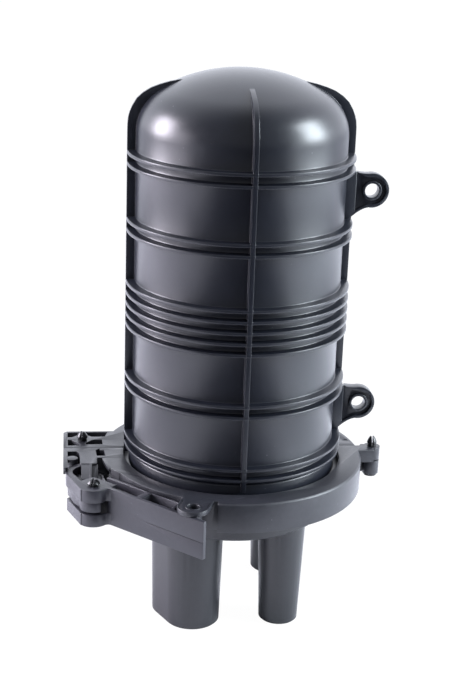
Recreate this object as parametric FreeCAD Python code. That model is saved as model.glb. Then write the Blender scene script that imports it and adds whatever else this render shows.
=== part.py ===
import FreeCAD, Part
import math
import os

# Main sizes, mm. Modelled with Z up from the port ends.
# Saved with the origin on the dome axis at the underside of the drum.
DOME_WALL_R = 83.2
DOME_WALL = 3.0
RIB_R = 90.0
RIB_T = 3.0
RIB_Z = [382.5, 373.5, 329.7, 321.0, 278.6, 269.9, 261.2, 252.6, 243.9, 202.0, 193.2, 149.4, 140.6]
SHOULDER_R = 37.0
APEX_Z = 448.4
CAP_R = 129.0
FIN_T = 3.8
COLLAR_R = 85.5
FLANGE_R = 99.0
DOME_FLANGE = (118.3, 123.5)
BASE_FLANGE = (112.2, 118.0)
SEAL_R = (COLLAR_R + FLANGE_R) / 2.0
SEAL_WIRE = 2.0
EAR_X = 105.2
EAR_DROP = 19.2
EAR_R = 13.8
EAR_T = 9.0
EAR_WEB = 3.6
EAR_BOSS_R = 7.8
EAR_HOLE_R = 5.75

# Base and ports
DRUM_R = 81.5
DRUM_WALL = 4.0
DRUM_Z = 85.0
PORT_WALL = 2.6
PORT_END = 3.0
ROUND_R = 16.0
ROUND_TOP_R = 19.3
ROUND_PORTS = [(38.5, -48.0), (43.0, 44.5), (-43.0, 45.0)]
OVAL_R = 22.8
OVAL_TOP_R = 24.4
OVAL_HALF = 10.0
OVAL_AT = (-38.4, -37.5)
OVAL_DEG = -64.0

# Clamp
GROOVE_R = FLANGE_R + 1.5
CLAMP_R = GROOVE_R + 8.5
LIP_R = COLLAR_R + 5.0
RECESS_R = CLAMP_R - 4.7
RECESS_IN = CLAMP_R - 7.0
RECESS_LIP_Z = 127.0
CLAMP_Z = (106.0, 130.0)
GROOVE_Z = (111.7, 124.0)
SPLIT_Y = 9.0
SPLIT_GAP = 0.15
HINGE = (122.0, 8.0)
HINGE_R = 7.0
HINGE_PIN_R = 3.5
RUN = 0.05

# Latch
P1 = (-120.0, -33.0)
P2 = (-116.0, -60.5)
P3 = (-124.0, 27.0)
PIN1_R = 4.0
PIN2_R = 3.75
PIN3_R = 3.75
HEAD_R = 18.0
HEAD_CLEAR = 18.5
HEAD_HOLE_R = 12.4
BOSS_R = 12.0
BAR_DEG = -43.4
P2_S = P2[0] * math.cos(math.radians(BAR_DEG)) + P2[1] * math.sin(math.radians(BAR_DEG))
P2_N = P2[0] * math.sin(math.radians(BAR_DEG)) - P2[1] * math.cos(math.radians(BAR_DEG))
BAR_IN = 103.0
BAR_OUT = 120.0
BAR_END = 65.5
LEVER_Z = (95.5, 126.5)
SLOT_Z = (105.6, 116.0)
SLOT_S = -31.2
LINK_Z = (107.4, 115.7)
BLOCK_Z = (116.9, 130.0)
TAB_AT = (-41.0, -111.0)
TAB_R = 12.5
TAB_HOLE_R = 5.0
TAB_Z = (126.8, 130.0)
TAB_BOSS_R = 7.0
TAB_BOSS_Z = 118.0
WALL_IN = 116.5
LEVER_DEG = 100.0
LINK_RATIO = -0.77
BACK_RATIO = 0.059

# Inner fittings and earth stud
FLOOR_Z = DRUM_Z + DRUM_WALL
TRAY_X = 50.0
TRAY_Z = (150.0, 385.0)
TRAY_T = 9.0
TRAY_GAP = 1.0
TRAY_Y = 22.0
STUD_AT = (0.0, -62.0)
STUD_R = 3.0
STUD_HEX = 10.0
STUD_HEAD_T = 3.6
STUD_PAD_R = 9.5
STUD_SINK_R = 6.4
STUD_PAD_Z = FLOOR_Z + 3.0
STUD_SINK_Z = DRUM_Z + 4.2


def box(x0, x1, y0, y1, z0, z1):
    corner = FreeCAD.Vector(x0, y0, z0)
    return Part.makeBox(x1 - x0, y1 - y0, z1 - z0, corner)


def cyl(at, r, z0, z1):
    return Part.makeCylinder(r, z1 - z0, FreeCAD.Vector(at[0], at[1], z0))


def prism(points, z0, z1):
    wire = Part.makePolygon([FreeCAD.Vector(x, y, z0) for x, y in points + points[:1]])
    return Part.Face(wire).extrude(FreeCAD.Vector(0, 0, z1 - z0))


def revolve(points):
    wire = Part.makePolygon([FreeCAD.Vector(r, 0, z) for r, z in points + points[:1]])
    return Part.Face(wire).revolve(FreeCAD.Vector(0, 0, 0), FreeCAD.Vector(0, 0, 1), 360)


def fuse(shapes):
    joined = shapes[0].multiFuse(shapes[1:]) if len(shapes) > 1 else shapes[0]
    return joined.removeSplitter()


def turn(shape, deg):
    shape.rotate(FreeCAD.Vector(0, 0, 0), FreeCAD.Vector(0, 0, 1), deg)
    return shape


def moved(at, shape):
    shape.translate(FreeCAD.Vector(at[0], at[1], 0))
    return shape


def bar_point(s, n):
    a = math.radians(BAR_DEG)
    x = s * math.cos(a) + n * math.sin(a)
    y = s * math.sin(a) - n * math.cos(a)
    return (x, y)


def bar_box(s0, s1, n0, n1, z0, z1):
    return prism([bar_point(s0, n0), bar_point(s1, n0), bar_point(s1, n1), bar_point(s0, n1)], z0, z1)


def save(name, shape):
    shape = shape.removeSplitter()
    if len(shape.Solids) == 1:
        shape = shape.Solids[0]
    shape.translate(FreeCAD.Vector(0, 0, -DRUM_Z))
    shape.exportStep("parts/" + name + ".step")


# Dome

def crown_points(offset):
    # Junction of shoulder arc and cap arc, both tangent
    cap = CAP_R - offset
    wall = DOME_WALL_R - offset
    small = SHOULDER_R - offset
    cap_z = APEX_Z - CAP_R
    sx = wall - small
    span = cap - small
    cz = cap_z + math.sqrt(max(span * span - sx * sx, 0.0))
    k = math.atan2(cz - cap_z, sx)
    join = (cap * math.cos(k), cap_z + cap * math.sin(k))
    mid_small = (sx + small * math.cos(k / 2), cz + small * math.sin(k / 2))
    m = (k + math.pi / 2) / 2
    mid_cap = (cap * math.cos(m), cap_z + cap * math.sin(m))
    return (wall, cz), mid_small, join, mid_cap, (0.0, cap_z + cap)


def crown_edges(offset):
    pts = [FreeCAD.Vector(r, 0, z) for r, z in crown_points(offset)]
    lower = Part.Arc(pts[0], pts[1], pts[2]).toShape()
    upper = Part.Arc(pts[2], pts[3], pts[4]).toShape()
    return [lower, upper], pts[0], pts[4]


def solid_of(points, edges, top, foot):
    chain = [FreeCAD.Vector(r, 0, z) for r, z in points]
    lines = [Part.makeLine(a, b) for a, b in zip(chain, chain[1:])]
    lines.append(Part.makeLine(chain[-1], foot))
    lines.extend(edges)
    lines.append(Part.makeLine(top, chain[0]))
    face = Part.Face(Part.Wire(Part.__sortEdges__(lines)))
    return face.revolve(FreeCAD.Vector(0, 0, 0), FreeCAD.Vector(0, 0, 1), 360)


def ring_steps():
    steps = []
    for z in sorted(RIB_Z):
        steps.append((DOME_WALL_R, z - RIB_T / 2))
        steps.append((RIB_R, z - RIB_T / 2))
        steps.append((RIB_R, z + RIB_T / 2))
        steps.append((DOME_WALL_R, z + RIB_T / 2))
    return steps


def dome_body():
    edges, foot, top = crown_edges(0.0)
    z0, z1 = DOME_FLANGE
    points = [(0, z0), (FLANGE_R, z0), (FLANGE_R, z1), (COLLAR_R, z1), (COLLAR_R, z1 + 12)]
    points.append((DOME_WALL_R, z1 + 14))
    return solid_of(points + ring_steps(), edges, top, foot)


def dome_core():
    edges, foot, top = crown_edges(DOME_WALL)
    r = DOME_WALL_R - DOME_WALL
    return solid_of([(0, DOME_FLANGE[0] - 1), (r, DOME_FLANGE[0] - 1)], edges, top, foot)


def fin():
    low = DOME_FLANGE[1] + 8
    v = FreeCAD.Vector
    a = v(46.0, 0, 436.6)
    b = v(72.0, 0, 432.4)
    c = v(86.5, 0, 418.0)
    d = v(89.4, 0, 409.5)
    e = v(RIB_R, 0, 400.0)
    rows = [Part.Arc(a, b, c).toShape(), Part.Arc(c, d, e).toShape()]
    rows.append(Part.makeLine(e, v(RIB_R, 0, low)))
    rows.append(Part.makeLine(v(RIB_R, 0, low), v(60, 0, low)))
    rows.append(Part.makeLine(v(60, 0, low), v(60, 0, 400)))
    rows.append(Part.makeLine(v(60, 0, 400), a))
    face = Part.Face(Part.Wire(Part.__sortEdges__(rows)))
    face.translate(v(0, -FIN_T / 2, 0))
    return face.extrude(v(0, FIN_T, 0))


def ear_face(z, r, back):
    v = FreeCAD.Vector
    k = math.radians(100)
    top = v(EAR_X + r * math.cos(k), 0, z + r * math.sin(k))
    low = v(EAR_X + r * math.cos(k), 0, z - r * math.sin(k))
    rise = r - EAR_R
    hi = v(back, 0, z + 17.7 + rise)
    lo = v(back, 0, z - 19.0 - rise)
    hm = v((back + top.x) / 2 + 1.0, 0, z + 14.4 + rise)
    lm = v((back + low.x) / 2 + 1.0, 0, z - 14.9 - rise)
    rows = [Part.Arc(hi, hm, top).toShape()]
    rows.append(Part.Arc(top, v(EAR_X + r, 0, z), low).toShape())
    rows.append(Part.Arc(low, lm, lo).toShape())
    rows.append(Part.makeLine(lo, hi))
    return Part.Face(Part.Wire(Part.__sortEdges__(rows)))


def slab(face, t):
    face.translate(FreeCAD.Vector(0, -t / 2, 0))
    return face.extrude(FreeCAD.Vector(0, t, 0))


def across(x, z, r, t):
    return Part.makeCylinder(r, t, FreeCAD.Vector(x, -t / 2, z), FreeCAD.Vector(0, 1, 0))


def ear(z):
    plate = slab(ear_face(z, EAR_R, 81.0), EAR_T)
    inside = slab(ear_face(z, EAR_R - 2.6, 91.5), EAR_T)
    web = slab(ear_face(z, EAR_R - 2.0, 90.0), EAR_WEB)
    boss = across(EAR_X, z, EAR_BOSS_R, EAR_T)
    rim = plate.cut(inside.cut(boss))
    return fuse([rim, web, boss]).cut(across(EAR_X, z, EAR_HOLE_R, EAR_T + 2))


def dome():
    parts = [dome_body()]
    for deg in (0, 90, 180, 270):
        parts.append(turn(fin(), deg))
    ears = [ear(RIB_Z[1] - EAR_DROP), ear(RIB_Z[10] - EAR_DROP)]
    shape = fuse(parts + ears)
    return shape.cut(dome_core())


# Base

def stadium(r, z):
    a = math.radians(OVAL_DEG)
    ax = FreeCAD.Vector(math.cos(a), math.sin(a), 0)
    side = FreeCAD.Vector(-ax.y, ax.x, 0)
    mid = FreeCAD.Vector(OVAL_AT[0], OVAL_AT[1], z)
    one = mid + ax * OVAL_HALF
    two = mid - ax * OVAL_HALF
    edges = [Part.Arc(one + side * r, one + ax * r, one - side * r).toShape()]
    edges.append(Part.makeLine(one - side * r, two - side * r))
    edges.append(Part.Arc(two - side * r, two - ax * r, two + side * r).toShape())
    edges.append(Part.makeLine(two + side * r, one + side * r))
    return Part.Wire(edges)


def oval_port(inset, z0, z1):
    slope = (OVAL_TOP_R - OVAL_R) / DRUM_Z
    low = OVAL_R + slope * z0 - inset
    high = OVAL_R + slope * z1 - inset
    return Part.makeLoft([stadium(low, z0), stadium(high, z1)], True, True)


def round_port(at, inset, z0, z1):
    slope = (ROUND_TOP_R - ROUND_R) / DRUM_Z
    low = ROUND_R + slope * z0 - inset
    high = ROUND_R + slope * z1 - inset
    return Part.makeCone(low, high, z1 - z0, FreeCAD.Vector(at[0], at[1], z0))


def base_body():
    z0, z1 = BASE_FLANGE
    points = [(0, DRUM_Z), (DRUM_R - 2, DRUM_Z), (DRUM_R, DRUM_Z + 2), (DRUM_R, z0)]
    out = SEAL_R + SEAL_WIRE + 0.1
    inn = SEAL_R - SEAL_WIRE - 0.1
    deep = z1 - 2 * SEAL_WIRE + 0.2
    points.extend([(FLANGE_R, z0), (FLANGE_R, z1), (out, z1), (out, deep)])
    points.extend([(inn, deep), (inn, z1), (0, z1)])
    return revolve(points)


def stud_pad():
    return cyl(STUD_AT, STUD_PAD_R, DRUM_Z + 1, STUD_PAD_Z)


def stud_sink():
    sink = cyl(STUD_AT, STUD_SINK_R, DRUM_Z - 1, STUD_SINK_Z)
    return sink.fuse(cyl(STUD_AT, STUD_R, DRUM_Z, STUD_PAD_Z + 1))


def base():
    shapes = [base_body(), oval_port(0, 1.0, DRUM_Z + 1), oval_port(1.0, 0, 1.0)]
    for at in ROUND_PORTS:
        shapes.append(round_port(at, 0, 1.0, DRUM_Z + 1))
        shapes.append(round_port(at, 1.0, 0, 1.0))
    shape = fuse(shapes)
    r = DRUM_R - DRUM_WALL
    shape = shape.cut(cyl((0, 0), r, DRUM_Z + DRUM_WALL, BASE_FLANGE[1] + 1))
    shape = shape.cut(oval_port(PORT_WALL, PORT_END, DRUM_Z + DRUM_WALL + 1))
    for at in ROUND_PORTS:
        shape = shape.cut(round_port(at, PORT_WALL, PORT_END, DRUM_Z + DRUM_WALL + 1))
    return shape.fuse(stud_pad()).cut(stud_sink())


def sealing_ring():
    return Part.makeTorus(SEAL_R, SEAL_WIRE, FreeCAD.Vector(0, 0, BASE_FLANGE[1] + 0.22 - SEAL_WIRE))


# Clamp ring

def clamp_ring():
    z0, z1 = CLAMP_Z
    g0, g1 = GROOVE_Z
    points = [(LIP_R, z0), (CLAMP_R, z0), (CLAMP_R, z1 - 1.2), (CLAMP_R - 1.2, z1), (LIP_R, z1)]
    points.extend([(LIP_R, g1 + 1), (LIP_R + 1, g1), (GROOVE_R, g1), (GROOVE_R, g0), (LIP_R, g0)])
    return revolve(points)


def front_side(z0, z1):
    return box(-200, 200, -200, SPLIT_Y - SPLIT_GAP, z0, z1)


def back_side(z0, z1):
    return box(-200, 200, SPLIT_Y + SPLIT_GAP, 200, z0, z1)


def head_clear(z0, z1):
    return cyl(P1, HEAD_CLEAR, z0, z1)


def lock_tab():
    a = math.atan2(TAB_AT[1], TAB_AT[0])
    reach = math.hypot(TAB_AT[0], TAB_AT[1])
    z0, z1 = TAB_Z
    stem = box(GROOVE_R + 0.5, reach, -TAB_R, TAB_R, z0, z1)
    web = box(GROOVE_R + 0.5, reach, -3.5, 3.5, TAB_BOSS_Z, z1)
    shape = turn(stem.fuse(web), math.degrees(a))
    return fuse([shape, cyl(TAB_AT, TAB_R, z0, z1), cyl(TAB_AT, TAB_BOSS_R, TAB_BOSS_Z, z1)])


def lever_recess():
    low = CLAMP_Z[0] - 1
    flat = bar_box(-62, 45, RECESS_IN, BAR_OUT + 10, low, RECESS_LIP_Z)
    outer = cyl((0, 0), CLAMP_R + 3, low, CLAMP_Z[1] + 1)
    band = outer.cut(cyl((0, 0), RECESS_R, low - 1, CLAMP_Z[1] + 2))
    wedge = [(0, 0)]
    for deg in (-155, -128, -101.5):
        wedge.append((180 * math.cos(math.radians(deg)), 180 * math.sin(math.radians(deg))))
    sweep = cyl(P1, HEAD_CLEAR, SLOT_Z[1] - 0.4, CLAMP_Z[1] + 1)
    return fuse([flat, band.common(prism(wedge, low, CLAMP_Z[1] + 1)), sweep])


def front_block():
    z0, z1 = BLOCK_Z
    y1 = SPLIT_Y - SPLIT_GAP
    back = box(-140, -98, 1.4, y1, z0, z1)
    left = box(-140, -136.5, -5.0, 2, z0, z1)
    flange = box(-140, -136.4, -31.0, 0, LEVER_Z[1] + 0.5, z1)
    tip = cyl((-138.2, -31.0), 1.8, LEVER_Z[1] + 0.5, z1)
    floor = box(-140, -126, -15.5, 2, z0, z0 + 2.6)
    right = prism([(-113.5, 2), (-98, 2), (-98, -28), (-113.5, -28)], z0, z1)
    body = fuse([back, left, floor, right]).cut(head_clear(z0 - 1, z1 + 1))
    return fuse([body, flange, tip, cyl((-132.6, -12.4), 4.5, z0, z1)])


def front_pockets():
    z0 = BLOCK_Z[0] + 2.6
    z1 = BLOCK_Z[1] + 1
    one = [(-109.8, 7.8), (-109.8, 3.9), (-106.2, 3.6), (-105.2, -8.2), (-112.5, -8.2), (-113.2, 3.6)]
    two = [(-112.4, -12.6), (-104.9, -12.6), (-101.8, -26), (-112.4, -26)]
    return fuse([prism(one, z0, z1), prism(two, z0, z1)])


def pivot_bracket():
    z1 = BLOCK_Z[1]
    left = [(-130.5, 2.5), (-128.6, 1.2), (-127.2, -1.5), (-126.6, -6), (-126.2, -23.6), (-125.2, -24.6)]
    right = [(-113.2, -24.6), (-112.4, -23.6), (-112.5, -8), (-113.2, 2.5)]
    plate = prism(left + right, LEVER_Z[1] + 0.3, z1)
    web = box(-126.0, -113.6, -25.6, -23.0, 117.0, z1 - 1.0)
    tongue = cyl(P1, 11.4, 117.0, 121.0)
    rib = [FreeCAD.Vector(-121.2, -24, 120.5), FreeCAD.Vector(-121.2, -24, 129.0)]
    rib.extend([FreeCAD.Vector(-121.2, -26.0, 129.0), FreeCAD.Vector(-121.2, -36.5, 120.5)])
    face = Part.Face(Part.makePolygon(rib + rib[:1]))
    gusset = face.extrude(FreeCAD.Vector(2.5, 0, 0))
    return fuse([plate, web, tongue, gusset]).cut(cyl(P1, PIN1_R, 110, 120.4))


def hinge_web(front):
    if front:
        pts = [(102, -3), (122, -3), (122, 12), (113, 12), (111.5, SPLIT_Y - SPLIT_GAP), (102, SPLIT_Y - SPLIT_GAP)]
        return prism(pts, 119.3, CLAMP_Z[1]).fuse(cyl(HINGE, HINGE_R, 119.3, CLAMP_Z[1]))
    y0 = SPLIT_Y + SPLIT_GAP
    pts = [(102, y0), (122, y0), (122, 15), (102, 16.5)]
    return prism(pts, CLAMP_Z[0], 118.0).fuse(cyl(HINGE, HINGE_R, CLAMP_Z[0], 118.0))


def clamp_front_half():
    ring = clamp_ring().common(front_side(90, 140)).cut(lever_recess())
    block = front_block().cut(front_pockets())
    inner = cyl((0, 0), GROOVE_R, 90, 140)
    shape = ring.cut(front_pockets())
    shape = fuse([shape, block.cut(inner), lock_tab(), hinge_web(True), pivot_bracket()])
    shape = shape.cut(cyl(TAB_AT, TAB_HOLE_R, 110, 135))
    return shape.cut(cyl(HINGE, HINGE_PIN_R, 100, 140))


def back_pockets():
    z0 = BLOCK_Z[0] + 2.6
    z1 = BLOCK_Z[1] + 1
    a = [(-136.5, 43.5), (-127, 43.5), (-127, 38.5), (-133, 33), (-136.5, 33)]
    b = [(-121, 44), (-102.5, 44), (-105, 34), (-116, 34), (-121, 38.5)]
    c = [(-136.3, 27), (-136.3, 14.5), (-126.5, 14.5), (-126.5, 17.5), (-133, 27)]
    d = [(-121.4, 16.8), (-107, 16.8), (-107.5, 27.3), (-115, 27.3), (-121.4, 20)]
    return fuse([prism(p, z0, z1) for p in (a, b, c, d)])


def rear_lug():
    web = prism([(-124, 18.5), (-103, 16), (-103, 36), (-124, 35.5)], 104.0, 106.9)
    return web.fuse(cyl(P3, 8.5, 104.0, 106.9))


def clamp_back_half():
    ring = clamp_ring().common(back_side(90, 140))
    y0 = SPLIT_Y + SPLIT_GAP
    pts = [(-140, y0), (-96, y0), (-96, 46.5), (-137, 46.5), (-140, 43.5)]
    inner = cyl((0, 0), GROOVE_R, 90, 140)
    block = fuse([prism(pts, BLOCK_Z[0], BLOCK_Z[1]), rear_lug()]).cut(inner)
    shape = fuse([ring, block, hinge_web(False)]).cut(back_pockets())
    shape = shape.cut(cyl((101, 21), 2.5, CLAMP_Z[1] - 0.5, CLAMP_Z[1] + 1))
    shape = shape.cut(cyl(HINGE, HINGE_PIN_R + RUN, 100, 119))
    return shape.cut(cyl(P3, PIN3_R, 100, 140))


# Lever

def boss_fillet(z0, z1):
    # Concave fillet between the boss and the outer face of the bar
    r = 4.0
    dn = P2_N - (BAR_OUT + r)
    ds = math.sqrt((BOSS_R + r) ** 2 - dn * dn)
    c = (P2_S + ds, BAR_OUT + r)
    a0 = math.atan2(P2_N - c[1], P2_S - c[0])
    a1 = -math.pi / 2
    if a0 > 0:
        a0 = a0 - 2 * math.pi
    pts = [(P2_S, BAR_OUT - 1)]
    for i in range(0, 7):
        a = a0 + (a1 - a0) * i / 6.0
        pts.append((c[0] + r * math.cos(a), c[1] + r * math.sin(a)))
    pts.append((c[0], BAR_OUT - 1))
    return prism([bar_point(q[0], q[1]) for q in pts], z0, z1)


def head_outline(z0, z1):
    cut = [(-126.0, -68.0), (-137.0, -38.5), (-130, -30), P1, (-106, -44), (-106, -62), P2]
    body = [prism(cut, z0, z1), cyl(P2, BOSS_R, z0, z1), boss_fillet(z0, z1)]
    body.append(bar_box(-45, BAR_END, BAR_IN, BAR_OUT, z0, z1))
    return fuse(body)


def upper_plate():
    z0, z1 = SLOT_Z[1], LEVER_Z[1]
    ring = cyl(P1, HEAD_R, z0, z1)
    keep = prism([P1, (-112.4, -10), (-150, -10), (-150, -60), (-100, -60)], z0 - 1, z1 + 1)
    plate = fuse([head_outline(z0, z1), ring.common(keep)])
    wedge = [(-130.5, -39), (-126.0, -51.0), (-117, -44)]
    trough = bar_box(-58, SLOT_S + 0.2, 105.2, 111.0, z0 - 1, z1 + 1).cut(cyl(P2, BOSS_R, z0 - 2, z1 + 2))
    open_side = bar_box(-75, -45.5, 95.0, 111.2, z0 - 1, z1 + 1).cut(cyl(P2, BOSS_R, z0 - 2, z1 + 2))
    plate = plate.cut(cyl(P1, HEAD_HOLE_R, z0 - 1, z1 + 1)).cut(trough).cut(open_side)
    return plate.cut(prism(wedge, z1 - 6, z1 + 1))


def lower_plate():
    z0, z1 = LEVER_Z[0], SLOT_Z[0]
    return fuse([head_outline(z0, z1), cyl(P1, HEAD_HOLE_R + 0.6, z0, z1)])


def lever_windows():
    top = LEVER_Z[1] + 1
    low = LEVER_Z[0] + 3.5
    one = bar_box(-17, -3.5, 105.2, 117.0, low, top)
    trough = bar_box(SLOT_S - 0.5, -16, 105.2, 110.2, SLOT_Z[1] - 4, top)
    shelf = bar_box(SLOT_S + 1.5, -16, 109, 117.0, LEVER_Z[1] - 3.5, top)
    centre = bar_point(46.5, 108.8)
    two = bar_box(1.8, 40, 105.2, 117.0, low, top).cut(cyl(centre, 17.0, low - 1, top + 1))
    return fuse([one, trough, shelf, two])


def tab_pocket():
    centre = bar_point(46.5, 108.8)
    top = LEVER_Z[1] + 1
    low = TAB_BOSS_Z - 6.0
    well = cyl(centre, 14.2, low, top)
    mouth = bar_box(31.6, 80, BAR_IN - 12, 109.0, low, top)
    outer = bar_box(20, 85, WALL_IN, 130, low - 1, top + 1)
    end = bar_box(48.0, 80, BAR_IN - 12, WALL_IN, LEVER_Z[0] - 1, top)
    return fuse([well, mouth]).cut(outer).fuse(end)


def latch_lever():
    middle = bar_box(SLOT_S, BAR_END, BAR_IN, BAR_OUT, SLOT_Z[0] - 0.5, SLOT_Z[1] + 0.5)
    shape = fuse([upper_plate(), lower_plate(), middle])
    shape = shape.cut(lever_windows()).cut(tab_pocket())
    shape = shape.cut(cyl(P2, PIN2_R, 90, 130))
    return shape.cut(cyl(P1, PIN1_R + RUN, 90, 106))


# Link

def spin(p, c, deg):
    a = math.radians(deg)
    x = p[0] - c[0]
    y = p[1] - c[1]
    return (c[0] + x * math.cos(a) - y * math.sin(a), c[1] + x * math.sin(a) + y * math.cos(a))


def rear_path():
    path = []
    for i in range(0, 21):
        lever = LEVER_DEG * i / 20.0
        p2 = spin(P2, P1, -lever)
        p3 = spin(P3, HINGE, -BACK_RATIO * lever)
        back = lever * (1.0 + LINK_RATIO)
        q = spin((p3[0] - p2[0] + P2[0], p3[1] - p2[1] + P2[1]), P2, back)
        path.append(q)
    return path


def sweep_disc(path, r, z0, z1):
    shapes = []
    for a, b in zip(path, path[1:]):
        span = math.hypot(b[0] - a[0], b[1] - a[1])
        if span < 0.02:
            continue
        nx = -(b[1] - a[1]) / span * r
        ny = (b[0] - a[0]) / span * r
        quad = [(a[0] + nx, a[1] + ny), (b[0] + nx, b[1] + ny), (b[0] - nx, b[1] - ny), (a[0] - nx, a[1] - ny)]
        shapes.append(prism(quad, z0, z1))
    shapes.extend([cyl(p, r, z0, z1) for p in path])
    return fuse(shapes)


def latch_link():
    z0, z1 = LINK_Z
    path = rear_path()[::4]
    eye = sweep_disc(path, PIN3_R + 4.2, z0, z1)
    shank = [(-124.6, -64), (-131.5, -52), (-136.3, -36), (-136.6, -20), (-134.5, 10), (-131.5, 27),
             (-118, 27), (-119.5, 8), (-124.2, -18), (-125.2, -30), (-124.8, -36), (-119, -48), (-110.4, -54)]
    front = cyl(P2, 11.0, z0, z1).cut(box(P2[0] + 5.8, P2[0] + 15, P2[1] - 15, P2[1] + 15, z0 - 1, z1 + 1))
    body = fuse([prism(shank, z0, z1), front, eye])
    slot = sweep_disc(rear_path()[::2], PIN3_R + 0.25, z0 - 1, z1 + 1)
    return body.cut(slot).cut(cyl(P2, PIN2_R + RUN, z0 - 1, z1 + 1))


# Pins

def snap_head(at, z, neck, bulb, tall):
    pts = [(0, z), (neck, z), (neck, z + 2.0), (bulb, z + 3.0), (bulb * 0.97, z + 4.6)]
    pts.extend([(bulb * 0.80, z + 6.4), (bulb * 0.55, z + tall), (0, z + tall)])
    head = revolve(pts)
    head.translate(FreeCAD.Vector(at[0], at[1], 0))
    return head


def snap_pin(at, r, foot, z0, z1, bulb, tall, deg):
    shape = fuse([cyl(at, r, z0, z1), snap_head(at, z1, r, bulb, tall), cyl(at, foot, z0 - 2.0, z0)])
    cut = box(-10, 10, -0.9, 0.9, z1 + 0.6, z1 + tall + 2)
    cut = turn(cut, deg)
    return shape.cut(moved(at, cut))


def lever_pivot_pin():
    return fuse([cyl(P1, PIN1_R, LEVER_Z[0], 120.4), cyl(P1, 6.5, LEVER_Z[0] - 2.1, LEVER_Z[0] - 0.1)])


# Inner fittings

def tray(index):
    y1 = TRAY_Y - index * (TRAY_T + TRAY_GAP)
    y0 = y1 - TRAY_T
    z0, z1 = TRAY_Z
    body = box(-TRAY_X, TRAY_X, y0, y1, z0, z1)
    pocket = box(-TRAY_X + 2, TRAY_X - 2, y0 - 1, y1 - 1.6, z0 + 2, z1 - 2)
    shape = body.cut(pocket)
    hub_low = Part.makeCylinder(20, TRAY_T - 1, FreeCAD.Vector(0, y0, z0 + 50), FreeCAD.Vector(0, 1, 0))
    hole_low = Part.makeCylinder(18, TRAY_T, FreeCAD.Vector(0, y0 - 1.6, z0 + 50), FreeCAD.Vector(0, 1, 0))
    hub_top = Part.makeCylinder(20, TRAY_T - 1, FreeCAD.Vector(0, y0, z1 - 50), FreeCAD.Vector(0, 1, 0))
    hole_top = Part.makeCylinder(18, TRAY_T, FreeCAD.Vector(0, y0 - 1.6, z1 - 50), FreeCAD.Vector(0, 1, 0))
    hubs = fuse([hub_low, hub_top]).cut(hole_low).cut(hole_top)
    knuckle = Part.makeCylinder(3.2, 30, FreeCAD.Vector(-15, y0 + 4.5, z0 - 4), FreeCAD.Vector(1, 0, 0))
    foot = box(-15, 15, y0 + 2.5, y0 + 6.5, z0 - 4, z0 + 1)
    pin = Part.makeCylinder(1.5, 32, FreeCAD.Vector(-16, y0 + 4.5, z0 - 4), FreeCAD.Vector(1, 0, 0))
    return fuse([shape, hubs, knuckle, foot]).cut(pin)


def splice_holders():
    y1 = TRAY_Y - 3 * (TRAY_T + TRAY_GAP) - 1.6
    rows = [box(-30, 30, y1 - 1.4, y1, 252, 283)]
    for i in range(0, 7):
        x = -28.5 + i * 9.0
        rows.append(box(x, x + 1.5, y1 - 5.4, y1 - 1.0, 252, 283))
    return fuse(rows)


def tray_cover():
    y1 = TRAY_Y - 3 * (TRAY_T + TRAY_GAP) - TRAY_T
    return box(-TRAY_X, TRAY_X, y1 - 2.0, y1 - 0.2, TRAY_Z[0], TRAY_Z[1])


def tray_strap():
    y0 = TRAY_Y - 3 * (TRAY_T + TRAY_GAP) - TRAY_T - 2.2
    outer = box(-51.3, 51.3, y0 - 1.0, TRAY_Y + 1.2, 305, 325)
    inner = box(-50.2, 50.2, y0, TRAY_Y + 0.2, 304, 326)
    return outer.cut(inner)


def tray_hinge_bar():
    rows = [box(-22, -17, -18, 26, 138, 150), box(17, 22, -18, 26, 138, 150), box(-22, 22, 22.5, 28.8, 138, 144)]
    for i in range(0, 4):
        y = TRAY_Y - i * (TRAY_T + TRAY_GAP) - TRAY_T + 4.5
        rows.append(Part.makeCylinder(1.5, 36, FreeCAD.Vector(-18, y, 146), FreeCAD.Vector(1, 0, 0)))
    return fuse(rows)


def tray_bracket():
    plate = box(-30, 30, 29, 31, FLOOR_Z, 392)
    left = box(-30, -28, 29, 44, FLOOR_Z, 392)
    right = box(28, 30, 29, 44, FLOOR_Z, 392)
    foot = box(-24, 24, 3, 31, FLOOR_Z, FLOOR_Z + 2)
    shape = fuse([plate, left, right, foot])
    window = [box(-14, 14, 28, 33, z, z + 40) for z in (170, 240)]
    for x in (-12, 12):
        window.append(cyl((x, 12), 2.5, FLOOR_Z - 1, FLOOR_Z + 3))
    return shape.cut(fuse(window))


def bracket_screws():
    rows = []
    for x in (-12, 12):
        rows.append(fuse([cyl((x, 12), 2.5, FLOOR_Z, FLOOR_Z + 2), cyl((x, 12), 4.5, FLOOR_Z + 2, FLOOR_Z + 5)]))
    return Part.makeCompound(rows)


def storage_basket():
    outer = box(-44, 44, 44.2, 60, 150, 330)
    inner = box(-41.5, 41.5, 41, 58, 153, 331)
    slots = [box(-36, 36, 56, 62, z, z + 26) for z in (165, 205, 245, 285)]
    shape = outer.cut(inner).cut(fuse(slots))
    hooks = [box(-30, -27.5, 44.2, 47, 300, 325), box(27.5, 30, 44.2, 47, 300, 325)]
    return shape.fuse(fuse([box(-43, -26, 44.2, 46.2, 160, 175), box(26, 43, 44.2, 46.2, 160, 175)] + hooks))


def cable_clamp(x):
    foot = box(x - 8, x + 8, -30, -6, FLOOR_Z, FLOOR_Z + 2)
    post = box(x - 8, x + 8, -8, -6, FLOOR_Z, FLOOR_Z + 30)
    jaw = box(x - 8, x + 8, -22, -6, FLOOR_Z + 28, FLOOR_Z + 30)
    hole = cyl((x, -24), 2.5, FLOOR_Z - 1, FLOOR_Z + 3)
    return fuse([foot, post, jaw]).cut(hole)


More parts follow.
